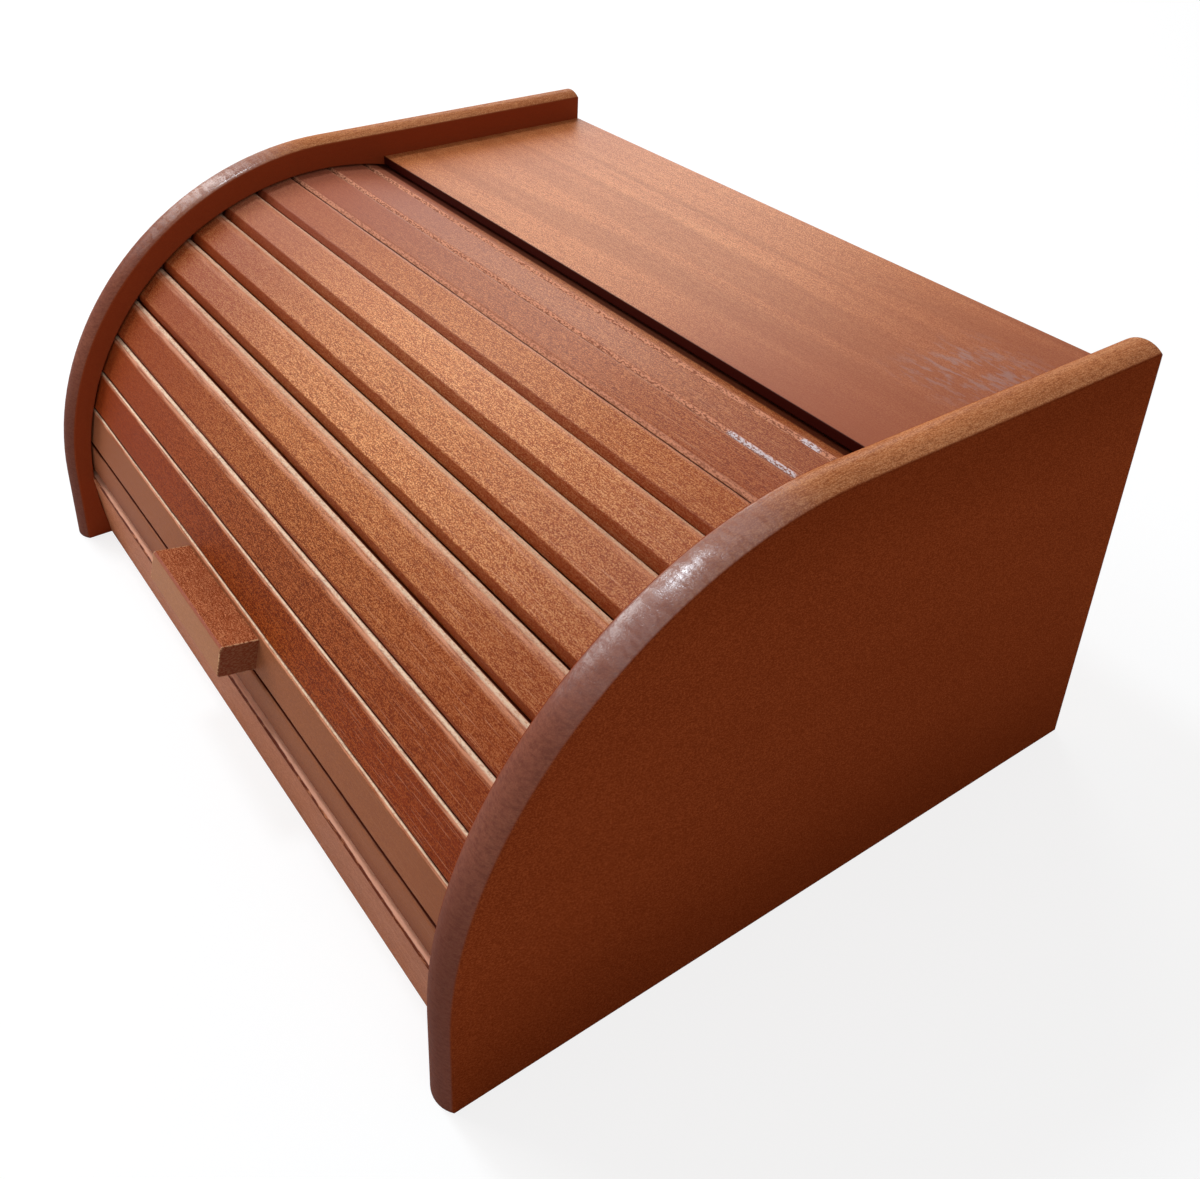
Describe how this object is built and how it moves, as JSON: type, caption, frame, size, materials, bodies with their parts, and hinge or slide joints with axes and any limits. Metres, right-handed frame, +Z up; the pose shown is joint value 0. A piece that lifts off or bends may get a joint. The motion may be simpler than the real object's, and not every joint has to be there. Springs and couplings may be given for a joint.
{
  "type": "roll-front box",
  "caption": "Low wooden box with round-shouldered side panels, a flat top board and a slatted tambour shutter that rolls up and back in curved tracks behind a bar handle.",
  "frame": {"origin": "centre of the bounding box on the table plane, midway between the side panels", "axes": "+X to the right when facing the shutter, +Y from the shutter to the back, +Z up"},
  "size_m": [0.385, 0.3132, 0.1905],
  "materials": {
    "panel_wood": "dark stained and lacquered",
    "top_wood": "light stained and lacquered",
    "slat_wood": "stained and lacquered",
    "rail_wood": "stained and lacquered",
    "handle_wood": "stained and lacquered",
    "inner_wood": "sealed",
    "dowel_wood": "bare",
    "cloth": "woven canvas, glued",
    "screw_brass": "bright",
    "pin_steel": "plain"
  },
  "bodies": {
    "case": {"left_side": "panel_wood", "right_side": "panel_wood", "top_board": "top_wood", "bottom_board": "inner_wood", "back_panel": "inner_wood", "front_rail": "rail_wood", "board_dowels": "dowel_wood", "back_pins": "pin_steel"},
    "shutter": {"lead_slat": "slat_wood", "slat_01_handle": "slat_wood", "slat_02": "slat_wood", "slat_03": "slat_wood", "slat_04": "slat_wood", "slat_05": "slat_wood", "slat_06": "slat_wood", "slat_07": "slat_wood", "slat_08": "slat_wood", "slat_09": "slat_wood", "slat_10": "slat_wood", "slat_11": "slat_wood", "slat_12": "slat_wood", "slat_13": "slat_wood", "backing_cloth": "cloth", "handle_bar": "handle_wood", "handle_screws": "screw_brass"}
  },
  "joints": [
    {"name": "shutter_roll", "type": "hinge", "parent": "case", "child": "shutter", "pos_m": [0, -0.00394, 0.0355], "axis": [-1, 0, 0], "range_deg": [0, 70]}
  ]
}
